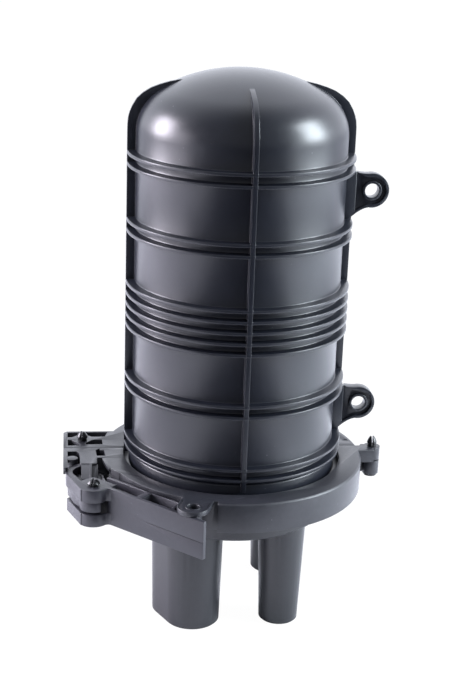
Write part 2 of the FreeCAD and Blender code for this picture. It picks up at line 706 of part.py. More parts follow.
def clamp_bolts():
    rows = []
    for x in (-9.5, 9.5):
        rows.append(cyl((x, -24), 2.5, FLOOR_Z, FLOOR_Z + 2).fuse(cyl((x, -24), 4.2, FLOOR_Z + 2, FLOOR_Z + 5.5)))
    return Part.makeCompound(rows)


def hexagon(at, flat, z0, z1):
    r = flat / math.sqrt(3)
    pts = []
    for i in range(0, 6):
        a = math.radians(60 * i)
        pts.append((at[0] + r * math.cos(a), at[1] + r * math.sin(a)))
    return prism(pts, z0, z1)


def earth_stud():
    shank = cyl(STUD_AT, STUD_R, STUD_SINK_Z - 1, STUD_PAD_Z + 14)
    return shank.fuse(hexagon(STUD_AT, STUD_HEX, STUD_SINK_Z - STUD_HEAD_T, STUD_SINK_Z))


def earth_nut():
    nut = hexagon(STUD_AT, STUD_HEX, STUD_PAD_Z + 1.5, STUD_PAD_Z + 6.5)
    return nut.cut(cyl(STUD_AT, STUD_R, STUD_PAD_Z, STUD_PAD_Z + 8))


def earth_washer():
    washer = cyl(STUD_AT, 6.5, STUD_PAD_Z, STUD_PAD_Z + 1.5)
    return washer.cut(cyl(STUD_AT, STUD_R, STUD_PAD_Z - 1, STUD_PAD_Z + 3))


def main():
    os.makedirs("parts", exist_ok=True)
    save("dome", dome())
    save("base", base())
    save("sealing_ring", sealing_ring())
    save("clamp_front_half", clamp_front_half())
    save("clamp_back_half", clamp_back_half())
    save("latch_lever", latch_lever())
    save("latch_link", latch_link())
    save("lever_pivot_pin", lever_pivot_pin())
    save("link_front_pin", snap_pin(P2, PIN2_R, 5.5, LEVER_Z[0], LEVER_Z[1], 5.15, 8.0, 20))
    save("link_rear_pin", snap_pin(P3, PIN3_R, 5.5, 104.0, BLOCK_Z[1], 4.6, 7.6, 70))
    save("clamp_hinge_pin", snap_pin(HINGE, HINGE_PIN_R, 5.5, CLAMP_Z[0], CLAMP_Z[1], 4.2, 8.9, 90))
    for i in range(0, 4):
        save("splice_tray_" + str(i + 1), tray(i))
    save("splice_holders", splice_holders())
    save("tray_cover", tray_cover())
    save("tray_strap", tray_strap())
    save("tray_hinge_bar", tray_hinge_bar())
    save("tray_bracket", tray_bracket())
    save("bracket_screws", bracket_screws())
    save("storage_basket", storage_basket())
    save("cable_clamp_left", cable_clamp(-9.5))
    save("cable_clamp_right", cable_clamp(9.5))
    save("clamp_bolts", clamp_bolts())
    save("earth_stud", earth_stud())
    save("earth_nut", earth_nut())
    save("earth_washer", earth_washer())


main()
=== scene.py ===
import logging
import math
from dataclasses import dataclass
from enum import Enum
from typing import Any, Iterable, Sequence

import bpy
from mathutils import Matrix, Vector


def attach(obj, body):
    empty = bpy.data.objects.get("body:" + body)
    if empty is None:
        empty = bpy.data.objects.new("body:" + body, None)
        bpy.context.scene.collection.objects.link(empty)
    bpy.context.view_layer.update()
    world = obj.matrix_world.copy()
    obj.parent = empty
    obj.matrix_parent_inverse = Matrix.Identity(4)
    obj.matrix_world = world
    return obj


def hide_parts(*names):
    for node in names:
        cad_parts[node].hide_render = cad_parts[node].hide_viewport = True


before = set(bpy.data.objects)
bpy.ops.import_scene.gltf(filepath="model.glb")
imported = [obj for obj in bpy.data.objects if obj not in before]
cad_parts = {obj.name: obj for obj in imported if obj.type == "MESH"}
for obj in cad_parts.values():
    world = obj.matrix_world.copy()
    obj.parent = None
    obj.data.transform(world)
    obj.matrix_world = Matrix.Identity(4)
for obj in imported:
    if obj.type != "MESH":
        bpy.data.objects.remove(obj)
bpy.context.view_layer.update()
LOG = logging.getLogger("closure")
MM = 0.001
FULL_TURN = 360.0
# How near points are merged, in mm, on a drawn piece and on a copied CAD node.
WELD = 0.01
CAD_WELD = 0.005
# Faces of a copied node that turn less than this are joined up.
FLAT_DEG = 0.4
# Edges that turn less than this are shaded smooth.
SMOOTH_DEG = 32.0
# The lever's bar, seen from above.
BAR_DEG = -43.4

Pair = tuple[float, float]
Point = tuple[float, float, float]
Colour = tuple[float, float, float]

SPECK_TINT = (0.16, 0.16, 0.18)
WHITE = (1.0, 1.0, 1.0)


class Body(Enum):
    """The rigid bodies that pieces ride on."""

    CLOSURE = "closure"
    BACK_HALF = "back_half"
    LEVER = "lever"
    LINK = "link"


class Grain(Enum):
    """How a moulded surface was textured in its tool."""

    POLISHED = "polished"
    SATIN = "satin"
    SPARK = "spark"


class Carving(Enum):
    """What one piece does to another."""

    CUT = "DIFFERENCE"
    ADD = "UNION"


class Sock:
    """A shader socket with arithmetic."""

    def __init__(self, graph: "Graph", socket: Any) -> None:
        """Keep the graph and the socket."""
        self.graph = graph
        self.socket = socket

    def _math(self, operation: str, *values: Any) -> "Sock":
        """Return a Math node's value for sockets or numbers."""
        return self.graph.add("ShaderNodeMath", {"operation": operation}, dict(enumerate(values)))

    def __add__(self, other: Any) -> "Sock":
        """Return the sum."""
        return self._math("ADD", self, other)

    def __radd__(self, other: Any) -> "Sock":
        """Return the sum."""
        return self._math("ADD", other, self)

    def __sub__(self, other: Any) -> "Sock":
        """Return the difference."""
        return self._math("SUBTRACT", self, other)

    def __rsub__(self, other: Any) -> "Sock":
        """Return the reflected difference."""
        return self._math("SUBTRACT", other, self)

    def __mul__(self, other: Any) -> "Sock":
        """Return the product."""
        return self._math("MULTIPLY", self, other)

    def __rmul__(self, other: Any) -> "Sock":
        """Return the product."""
        return self._math("MULTIPLY", other, self)

    def __abs__(self) -> "Sock":
        """Return the absolute value."""
        return self._math("ABSOLUTE", self)

    def smooth(self, low: float, high: float, start: float = 0.0, end: float = 1.0) -> "Sock":
        """Ease from start at low to end at high.

        Args:
            low: the value that gives start.
            high: the value that gives end.
            start: the result at low and before it.
            end: the result at high and past it.

        Returns:
            The eased value.
        """
        settings = {"interpolation_type": "SMOOTHSTEP"}
        inputs = {0: self, 1: low, 2: high, 3: start, 4: end}
        return self.graph.add("ShaderNodeMapRange", settings, inputs)

    def around(self, middle: Any, reach: float) -> "Sock":
        """Return a value that varies about a middle as this one does about a half."""
        return middle + (self - 0.5) * reach


class Graph:
    """The node tree of a material or a world."""

    def __init__(self, owner: bpy.types.Material | bpy.types.World) -> None:
        """Start with an empty tree.

        Args:
            owner: the material or world that the tree belongs to.
        """
        owner.use_nodes = True
        self.owner = owner
        self.tree = owner.node_tree
        self.tree.nodes.clear()

    def add(self, kind: str, settings: dict[str, Any], inputs: dict[Any, Any], out: Any = 0) -> Sock:
        """Add a node.

        Args:
            kind: the node's type name.
            settings: attributes that are set first.
            inputs: values or links by socket name or index.
            out: the output's name or index.

        Returns:
            The chosen output.
        """
        node = self.tree.nodes.new(kind)
        for key, value in settings.items():
            setattr(node, key, value)
        for key, value in inputs.items():
            if isinstance(value, Sock):
                self.tree.links.new(value.socket, node.inputs[key])
            else:
                node.inputs[key].default_value = value
        return Sock(self, node.outputs[out])

    def place(self) -> Sock:
        """Return the object coordinates."""
        return self.add("ShaderNodeTexCoord", {}, {}, "Object")

    def axis(self, where: Sock, name: str) -> Sock:
        """Return one coordinate of a vector."""
        return self.add("ShaderNodeSeparateXYZ", {}, {0: where}, name)

    def stretch(self, where: Sock, scale: Sequence[float]) -> Sock:
        """Return a vector scaled on each axis."""
        return self.add("ShaderNodeMapping", {}, {"Vector": where, "Scale": tuple(scale)})

    def noise(self, where: Sock, scale: float, detail: float = 3.0, rough: float = 0.5) -> Sock:
        """Return fractal noise from 0 to 1."""
        inputs = {"Vector": where, "Scale": scale, "Detail": detail, "Roughness": rough}
        return self.add("ShaderNodeTexNoise", {}, inputs)

    def cells(self, where: Sock, scale: float) -> Sock:
        """Return the distance to the nearest cell point."""
        return self.add("ShaderNodeTexVoronoi", {}, {"Vector": where, "Scale": scale}, "Distance")

    def mix(self, factor: Any, low: Sequence[float], high: Sequence[float]) -> Sock:
        """Mix two colours by a factor."""
        inputs = {0: factor, 6: rgba(low), 7: rgba(high)}
        return self.add("ShaderNodeMix", {"data_type": "RGBA"}, inputs, 2)

    def tint(self, factor: Any, base: Sock, high: Sequence[float]) -> Sock:
        """Mix a linked colour towards a plain one."""
        inputs = {0: factor, 6: base, 7: rgba(high)}
        return self.add("ShaderNodeMix", {"data_type": "RGBA"}, inputs, 2)

    def rounded(self, radius: float) -> Sock:
        """Return a normal that rounds sharp edges."""
        return self.add("ShaderNodeBevel", {"samples": 6}, {"Radius": radius})

    def bump(self, height: Sock, distance: float, strength: float, normal: Sock | None = None) -> Sock:
        """Return a normal raised by a height.

        Args:
            height: the height, from 0 to 1.
            distance: the size of a full step, in metres.
            strength: how much of it is used.
            normal: the normal that it starts from.

        Returns:
            The bumped normal.
        """
        inputs: dict[Any, Any] = {"Height": height, "Distance": distance, "Strength": strength}
        if normal is not None:
            inputs["Normal"] = normal
        return self.add("ShaderNodeBump", {}, inputs)

    def surface(self, **inputs: Any) -> bpy.types.Material:
        """Close the tree with a principled shader.

        Args:
            inputs: its sockets by name, with underscores for spaces.

        Returns:
            The finished material.
        """
        named = {key.replace("_", " "): value for key, value in inputs.items()}
        self.add_output(self.add("ShaderNodeBsdfPrincipled", {}, named))
        return self.owner

    def add_output(self, shader: Sock, kind: str = "ShaderNodeOutputMaterial") -> None:
        """Link a shader to the tree's output."""
        node = self.tree.nodes.new(kind)
        self.tree.links.new(shader.socket, node.inputs["Surface"])

    def camera_mix(self, lit: Sock, seen: Sock) -> Sock:
        """Return one shader for light and another for what the camera sees."""
        path = self.add("ShaderNodeLightPath", {}, {}, "Is Camera Ray")
        return self.add("ShaderNodeMixShader", {}, {0: path, 1: lit, 2: seen})


def rgba(colour: Sequence[float]) -> tuple[float, ...]:
    """Return a colour with its alpha."""
    return (*colour, 1.0)


@dataclass(frozen=True)
class Relief:
    """A fine height pattern. Its scales are per metre and its depth is in metres."""

    scale: float
    depth: float
    strength: float
    detail: float = 2.0
    rough: float = 0.5
    pits: float = 0.0
    pit_scale: float = 0.0

    def raised(self, g: Graph, at: Sock, normal: Sock | None = None) -> Sock:
        """Put the pattern on a normal.

        Args:
            g: the material's tree.
            at: the object coordinates.
            normal: the normal that it starts from.

        Returns:
            The raised normal.
        """
        height = g.noise(at, self.scale, self.detail, self.rough)
        if self.pits:
            height = height * (1.0 - self.pits) + g.cells(at, self.pit_scale) * self.pits
        return g.bump(height, self.depth, self.strength, normal)


@dataclass(frozen=True)
class Texture:
    """A tool's texture: its relief, and how the roughness follows the dapple and clouds."""

    relief: Relief | None
    dapple: float
    cloud: float = 0.0


TEXTURES = {
    Grain.POLISHED: Texture(None, dapple=0.05),
    Grain.SATIN: Texture(Relief(700.0, 0.00004, 0.35, detail=3.0), dapple=0.08, cloud=0.06),
    Grain.SPARK: Texture(
        Relief(1500.0, 0.00012, 0.55, rough=0.6, pits=0.3, pit_scale=1100.0), dapple=0.16),
}


@dataclass(frozen=True)
class Spots:
    """Small spots that gather in patches. Scales are per metre."""

    scale: float
    size: Pair
    patch_scale: float
    patch: Pair
    share: float

    def mask(self, g: Graph, at: Sock) -> Sock:
        """Return how much of the spots' colour shows at each place."""
        patches = g.noise(at, self.patch_scale, 2.0).smooth(*self.patch)
        return g.cells(at, self.scale).smooth(*self.size) * patches * self.share


FLECKS = Spots(scale=900.0, size=(0.12, 0.02), patch_scale=55.0, patch=(0.55, 0.75), share=0.35)
SPECKS = Spots(scale=120.0, size=(0.065, 0.03), patch_scale=18.0, patch=(0.5, 0.62), share=0.5)


@dataclass(frozen=True)
class MouldedPlastic:
    """Injection-moulded polymer with its tool's grain. Scales are per metre."""

    name: str
    colour: Colour
    rough: float
    grain: Grain
    edge: float
    dust: float
    cloud_scale: float = 9.0
    cloud_share: float = 0.6
    cloud_fall: Pair = (0.35, 0.8)
    cloud_gain: float = 1.35
    dapple_scale: float = 240.0
    dapple_detail: float = 4.0
    dapple_rough: float = 0.6
    fleck_gain: float = 2.2
    fleck_lift: float = 0.03
    index: float = 1.48

    def paler(self, gain: float, lift: float) -> Colour:
        """Return the plastic's colour, multiplied and then raised."""
        return tuple(min(1.0, c * gain + lift) for c in self.colour)

    def paint(self, g: Graph, at: Sock, broad: Sock, fine: Sock) -> Sock:
        """Cloud the colour and scatter flecks and dust over it.

        Args:
            g: the material's tree.
            at: the object coordinates.
            broad: the clouding.
            fine: the dapple.

        Returns:
            The colour.
        """
        cloud = broad * self.cloud_share + fine * (1.0 - self.cloud_share)
        dusty = self.paler(self.cloud_gain, self.dust)
        colour = g.mix(cloud.smooth(*self.cloud_fall), self.colour, dusty)
        pale = self.paler(self.fleck_gain, self.fleck_lift)
        colour = g.tint(FLECKS.mask(g, at), colour, pale)
        return g.tint(SPECKS.mask(g, at), colour, SPECK_TINT)

    def make(self) -> bpy.types.Material:
        """Build the material.

        Returns:
            The finished material.
        """
        g = Graph(bpy.data.materials.new(self.name))
        at = g.place()
        broad = g.noise(at, self.cloud_scale)
        fine = g.noise(at, self.dapple_scale, self.dapple_detail, self.dapple_rough)
        texture = TEXTURES[self.grain]
        normal = g.rounded(self.edge)
        if texture.relief:
            normal = texture.relief.raised(g, at, normal)
        rough = fine.around(self.rough, texture.dapple)
        if texture.cloud:
            rough = broad.around(rough, texture.cloud)
        colour = self.paint(g, at, broad, fine)
        return g.surface(Base_Color=colour, Roughness=rough, Normal=normal, IOR=self.index)


@dataclass(frozen=True)
class SteelSheet:
    """Drawn or brushed metal. Scales are per metre, the edge and the depth in metres."""

    name: str
    colour: Colour
    rough: float
    along: Point
    edge: float = 0.0004
    line_scale: float = 60.0
    line_detail: float = 5.0
    line_rough: float = 0.65
    line_depth: float = 0.00003
    line_strength: float = 0.4
    cloud_scale: float = 30.0
    fall: Pair = (0.3, 0.75)
    shade: float = 0.72
    wander: float = 0.25

    def make(self) -> bpy.types.Material:
        """Build the material.

        Returns:
            The finished material.
        """
        g = Graph(bpy.data.materials.new(self.name))
        at = g.place()
        drawn = g.stretch(at, self.along)
        lines = g.noise(drawn, self.line_scale, self.line_detail, self.line_rough)
        cloud = g.noise(at, self.cloud_scale)
        dark = tuple(c * self.shade for c in self.colour)
        colour = g.mix((lines * 0.5 + cloud * 0.5).smooth(*self.fall), dark, self.colour)
        rough = lines.around(self.rough, self.wander)
        normal = g.bump(lines, self.line_depth, self.line_strength, g.rounded(self.edge))
        return g.surface(Base_Color=colour, Metallic=1.0, Roughness=rough, Normal=normal)


@dataclass(frozen=True)
class Elastomer:
    """Moulded rubber with a talc bloom. Scales are per metre."""

    name: str
    colour: Colour
    rough: float = 0.62
    bloom_scale: float = 80.0
    bloom_detail: float = 5.0
    bloom_rough: float = 0.6
    bloom_fall: Pair = (0.4, 0.8)
    bloom_gain: float = 2.0
    bloom_haze: float = 0.2
    relief: Relief = Relief(900.0, 0.00008, 0.5)
    index: float = 1.5

    def make(self) -> bpy.types.Material:
        """Build the material.

        Returns:
            The finished material.
        """
        g = Graph(bpy.data.materials.new(self.name))
        at = g.place()
        bloom = g.noise(at, self.bloom_scale, self.bloom_detail, self.bloom_rough)
        pale = tuple(c * self.bloom_gain for c in self.colour)
        colour = g.mix(bloom.smooth(*self.bloom_fall), self.colour, pale)
        rough = self.rough + bloom * self.bloom_haze
        normal = self.relief.raised(g, at)
        return g.surface(Base_Color=colour, Roughness=rough, Normal=normal, IOR=self.index)


@dataclass(frozen=True)
class Webbing:
    """Woven strap. Scales are per metre and the depth is in metres."""

    name: str
    colour: Colour
    warp_scale: float = 420.0
    warp_stray: float = 0.4
    weft_scale: float = 520.0
    shade: float = 0.5
    rough: float = 0.7
    rough_gain: float = 0.2
    depth: float = 0.0003
    strength: float = 0.8
    sheen: float = 0.3

    def make(self) -> bpy.types.Material:
        """Build the material.

        Returns:
            The finished material.
        """
        g = Graph(bpy.data.materials.new(self.name))
        at = g.place()
        threads = {"Vector": at, "Scale": self.warp_scale, "Distortion": self.warp_stray}
        warp = g.add("ShaderNodeTexWave", {"bands_direction": "DIAGONAL"}, threads, 1)
        threads = {"Vector": at, "Scale": self.weft_scale}
        weft = g.add("ShaderNodeTexWave", {"bands_direction": "Z"}, threads, 1)
        weave = warp * 0.5 + weft * 0.5
        colour = g.mix(weave, tuple(c * self.shade for c in self.colour), self.colour)
        rough = self.rough + weave * self.rough_gain
        normal = g.bump(weave, self.depth, self.strength)
        sheen = self.sheen
        return g.surface(Base_Color=colour, Roughness=rough, Normal=normal, Sheen_Weight=sheen)


@dataclass(frozen=True)
class ClearSheet:
    """Clear polymer sheet. Scales are per metre."""

    name: str
    colour: Colour
    rough: float = 0.06
    haze: float = 0.08
    haze_scale: float = 60.0
    relief: Relief = Relief(20.0, 0.0002, 0.2)
    alpha: float = 0.38
    index: float = 1.5

    def make(self) -> bpy.types.Material:
        """Build the material.

        Returns:
            The finished material.
        """
        g = Graph(bpy.data.materials.new(self.name))
        at = g.place()
        rough = self.rough + g.noise(at, self.haze_scale) * self.haze
        look = {"Base_Color": rgba(self.colour), "Alpha": self.alpha, "IOR": self.index}
        return g.surface(Roughness=rough, Normal=self.relief.raised(g, at), **look)


DOME_PLASTIC = MouldedPlastic(
    "dome_satin_black", (0.006, 0.0071, 0.0112), rough=0.32, grain=Grain.SATIN, edge=0.0007, dust=0.001)
BASE_PLASTIC = MouldedPlastic(
    "base_satin_black", (0.009, 0.0095, 0.012), rough=0.42, grain=Grain.SATIN, edge=0.0006, dust=0.004)
CLAMP_PLASTIC = MouldedPlastic(
    "clamp_fine_grain", (0.012, 0.0125, 0.0165), rough=0.4, grain=Grain.SPARK, edge=0.0005, dust=0.008)
LEVER_PLASTIC = MouldedPlastic(
    "lever_fine_grain", (0.017, 0.0168, 0.0225), rough=0.42, grain=Grain.SPARK, edge=0.0006, dust=0.008)
PIN_PLASTIC = MouldedPlastic(
    "pin_gloss_black", (0.006, 0.006, 0.007), rough=0.32, grain=Grain.POLISHED, edge=0.0003, dust=0.001)
TRAY_PLASTIC = MouldedPlastic(
    "tray_light_grey", (0.62, 0.63, 0.64), rough=0.4, grain=Grain.SATIN, edge=0.0004, dust=0.02)
HOLDER_PLASTIC = MouldedPlastic(
    "holder_cream", (0.72, 0.7, 0.64), rough=0.45, grain=Grain.SATIN, edge=0.0003, dust=0.02)
BASKET_PLASTIC = MouldedPlastic(
    "basket_grey", (0.5, 0.51, 0.52), rough=0.45, grain=Grain.SATIN, edge=0.0005, dust=0.02)
SEAL_RUBBER = Elastomer("seal_rubber", (0.02, 0.02, 0.02))
STRAP_WEB = Webbing("strap_web", (0.03, 0.03, 0.035))
COVER_SHEET = ClearSheet("tray_cover_clear", (0.8, 0.86, 0.9))
BRACKET_STEEL = SteelSheet("bracket_steel", (0.6, 0.6, 0.6), rough=0.32, along=(1.0, 1.0, 0.05))
SCREW_STEEL = SteelSheet("screw_steel", (0.66, 0.65, 0.63), rough=0.25, along=(0.2, 1.0, 1.0))
STUD_BRASS = SteelSheet("stud_brass", (0.78, 0.58, 0.26), rough=0.25, along=(1.0, 1.0, 0.2))


def dress(names: Iterable[str], material: bpy.types.Material) -> None:
    """Give CAD nodes a finish.

    Args:
        names: the nodes' names.
        material: their finish.
    """
    for name in names:
        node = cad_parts[name]
        node.data.materials.clear()
        node.data.materials.append(material)
        LOG.info("dressed %s", name)


class Bench:
    """One piece on the modelling bench, shaped with edit-mode tools. Sizes are in mm."""

    def __init__(self, name: str, start: Point) -> None:
        """Start from a small plane that is merged to one point.

        Args:
            name: the piece's name.
            start: where the point is.
        """
        self.close()
        bpy.ops.object.select_all(action="DESELECT")
        bpy.ops.mesh.primitive_plane_add(size=MM, location=(0.0, 0.0, 0.0))
        self.piece = bpy.context.object
        self.piece.name = name
        self.piece.data.name = name
        self.edit()
        bpy.ops.mesh.select_all(action="SELECT")
        bpy.ops.mesh.merge(type="CENTER")
        bpy.ops.transform.translate(value=Vector(start) * MM)

    def close(self) -> None:
        """Leave edit mode."""
        if bpy.context.mode == "EDIT_MESH":
            bpy.ops.object.mode_set(mode="OBJECT")

    def alone(self) -> None:
        """Leave edit mode, with only this piece selected and active."""
        self.close()
        bpy.ops.object.select_all(action="DESELECT")
        self.piece.select_set(True)
        bpy.context.view_layer.objects.active = self.piece

    def edit(self) -> None:
        """Open this piece alone in edit mode."""
        self.alone()
        bpy.ops.object.mode_set(mode="EDIT")

    def chain(self, points: Sequence[Point]) -> None:
        """Draw edges from the selected point, the first of points, through the others.

        Args:
            points: places in mm.
        """
        for here, there in zip(points, points[1:]):
            step = (Vector(there) - Vector(here)) * MM
            bpy.ops.mesh.extrude_region_move(TRANSFORM_OT_translate={"value": step})

    def face(self) -> None:
        """Close the drawn chain and fill it."""
        bpy.ops.mesh.select_all(action="SELECT")
        bpy.ops.mesh.remove_doubles(threshold=WELD * MM)
        bpy.ops.mesh.select_all(action="SELECT")
        bpy.ops.mesh.edge_face_add()

    def extrude(self, step: Point) -> None:
        """Extrude what is selected by a step in mm."""
        bpy.ops.mesh.extrude_region_move(TRANSFORM_OT_translate={"value": Vector(step) * MM})

    def lathe(self, steps: int, at: Pair) -> None:
        """Spin the drawn chain once round a vertical axis and close its poles.

        Args:
            steps: how many facets the turn has.
            at: the axis, in mm.
        """
        centre = (at[0] * MM, at[1] * MM, 0.0)
        bpy.ops.mesh.select_all(action="SELECT")
        bpy.ops.mesh.spin(steps=steps, angle=math.tau, center=centre, axis=(0.0, 0.0, 1.0))
        self.outward()

    def outward(self) -> None:
        """Merge doubles and turn every face outwards."""
        bpy.ops.mesh.select_all(action="SELECT")
        bpy.ops.mesh.remove_doubles(threshold=WELD * MM)
        bpy.ops.mesh.normals_make_consistent(inside=False)

    def modify(self, kind: str, settings: dict[str, Any]) -> None:
        """Add a modifier and apply it.

        Args:
            kind: the modifier's type.
            settings: its attributes.
        """
        self.alone()
        modifier = self.piece.modifiers.new(kind.lower(), kind)
        for key, value in settings.items():
            setattr(modifier, key, value)
        bpy.ops.object.modifier_apply(modifier=modifier.name)

    def round_edges(self, width: float, segments: int = 2, limit: float = 35.0) -> None:
        """Round the sharp edges.

        Args:
            width: how far a round reaches, in mm.
            segments: facets in a round.
            limit: the least angle that is rounded, in degrees.
        """
        settings = {
            "width": width * MM,
            "segments": segments,
            "angle_limit": math.radians(limit),
            "limit_method": "ANGLE",
            "use_clamp_overlap": True,
            "miter_outer": "MITER_ARC",
        }
        self.modify("BEVEL", settings)

    def carve(self, other: "Bench", way: Carving = Carving.CUT) -> None:
        """Cut off or add on another piece, which is then removed.

        Args:
            other: the tool piece.
            way: what it does.
        """
        settings = {"object": other.piece, "operation": way.value, "solver": "EXACT"}
        self.modify("BOOLEAN", settings)
        bpy.data.objects.remove(other.piece)

    def join(self, others: Iterable["Bench"]) -> None:
        """Make other pieces part of this one.

        Args:
            others: the pieces, which are used up.
        """
        self.alone()
        for other in others:
            other.piece.select_set(True)
        bpy.ops.object.join()

    def finish(self, body: Body, slot: str, material: bpy.types.Material, *stands_for: str) -> None:
        """Smooth, dress and place the piece on its body.

        Args:
            body: the body it rides on.
            slot: the record's material slot, which is not used.
            material: its finish.
            stands_for: the CAD nodes that it replaces.
        """
        self.alone()
        bpy.ops.object.shade_smooth_by_angle(angle=math.radians(SMOOTH_DEG))
        self.piece.data.materials.clear()
        self.piece.data.materials.append(material)
        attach(self.piece, body.value)
        if stands_for:
            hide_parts(*stands_for)
        LOG.info("modelled %s with %d faces", self.piece.name, len(self.piece.data.polygons))


class Copied(Bench):
    """A merged copy of a CAD node, with its flat faces joined up again."""

    def __init__(self, node: str, name: str) -> None:
        """Copy a node's mesh and merge it.

        Args:
            node: the CAD node.
            name: the copy's name.
        """
        self.piece = bpy.data.objects.new(name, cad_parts[node].data.copy())
        self.piece.data.name = name
        self.piece.data.materials.clear()
        bpy.context.scene.collection.objects.link(self.piece)
        self.edit()
        bpy.ops.mesh.select_all(action="SELECT")
        bpy.ops.mesh.customdata_custom_splitnormals_clear()
        bpy.ops.mesh.remove_doubles(threshold=CAD_WELD * MM)
        bpy.ops.mesh.dissolve_limited(angle_limit=math.radians(FLAT_DEG))


def prism(name: str, loop: Sequence[Point], step: Point) -> Bench:
    """Draw a closed loop, fill it and extrude it.

    Args:
        name: the piece's name.
        loop: its places in mm, the last one being the first one again.
        step: the way it is extruded.

    Returns:
        The piece, open in edit mode with everything selected.
    """
    bench = Bench(name, loop[0])
    bench.chain(loop)
    bench.face()
    bench.extrude(step)
    bench.outward()
    return bench


def plate(name: str, outline: Sequence[Pair], low: float, high: float) -> Bench:
    """Fill a level outline and thicken it upwards.

    Args:
        name: the piece's name.
        outline: its corners, as x and y.
        low: the underside's height.
        high: the top's height.

    Returns:
        The plate.
    """
    loop = [(x, y, low) for x, y in [*outline, outline[0]]]
    return prism(name, loop, (0.0, 0.0, high - low))


def slab(name: str, loop: Sequence[Pair], near: float, far: float) -> Bench:
    """Fill a closed upright loop and thicken it backwards.

    Args:
        name: the piece's name.
        loop: its places, as x and z.
        near: the near face's y.
        far: the far face's y.

    Returns:
        The slab.
    """
    return prism(name, [(x, near, z) for x, z in loop], (0.0, far - near, 0.0))


def turning(name: str, section: Sequence[Point], steps: int, at: Pair = (0.0, 0.0)) -> Bench:
    """Draw a section and spin it once round an upright axis.

    Args:
        name: the piece's name.
        section: its places in mm.
        steps: how many facets the turn has.
        at: the axis.

    Returns:
        The turned piece.
    """
    bench = Bench(name, section[0])
    bench.chain(section)
    bench.lathe(steps, at)
    return bench


def ring_point(radius: float, deg: float) -> Pair:
    """Return a place by its distance and angle from the dome's axis."""
    a = math.radians(deg)
    return (radius * math.cos(a), radius * math.sin(a))


def arc(centre: Pair, radius: float, start: float, end: float, count: int) -> list[Pair]:
    """Return points along an arc in a plane.

    Args:
        centre: its centre.
        radius: its radius.
        start: the first point's angle, in degrees.
        end: the last point's angle.
        count: how many runs it has.

    Returns:
        The points as pairs.
    """
    rows = []
    for i in range(count + 1):
        x, y = ring_point(radius, start + (end - start) * i / count)
        rows.append((centre[0] + x, centre[1] + y))
    return rows


def bow(first: Pair, middle: Pair, last: Pair, runs: int = 6) -> list[Pair]:
    """Return the points between two places on a bow through a third.

    Args:
        first: where the bow starts, which is left out.
        middle: the place halfway.
        last: where it ends, which is left out too.
        runs: how many runs it has.

    Returns:
        The points, from first to last.
    """
    rows = []
    for i in range(1, runs):
        t = i / runs
        k = 4 * t * (1 - t)
        x, z = (a + (b - a) * t + (m - (a + b) / 2) * k for a, m, b in zip(first, middle, last))
        rows.append((x, z))
    return rows


def bar_point(along: float, out: float) -> Pair:
    """Return a level place from how far it is along the lever's bar and out from the axis."""
    a = math.radians(BAR_DEG)
    return (along * math.cos(a) + out * math.sin(a), along * math.sin(a) - out * math.cos(a))


def bar_block(name: str, along: Pair, out: Pair, height: Pair) -> Bench:
    """Model a block that lies square to the lever's bar.

    Args:
        name: the piece's name.
        along: where it starts and ends along the bar.
        out: its near and far faces' distances from the dome's axis.
        height: its underside and top.

    Returns:
        The block.
    """
    corners = [(along[0], out[0]), (along[1], out[0]), (along[1], out[1]), (along[0], out[1])]
    return plate(name, [bar_point(*corner) for corner in corners], *height)


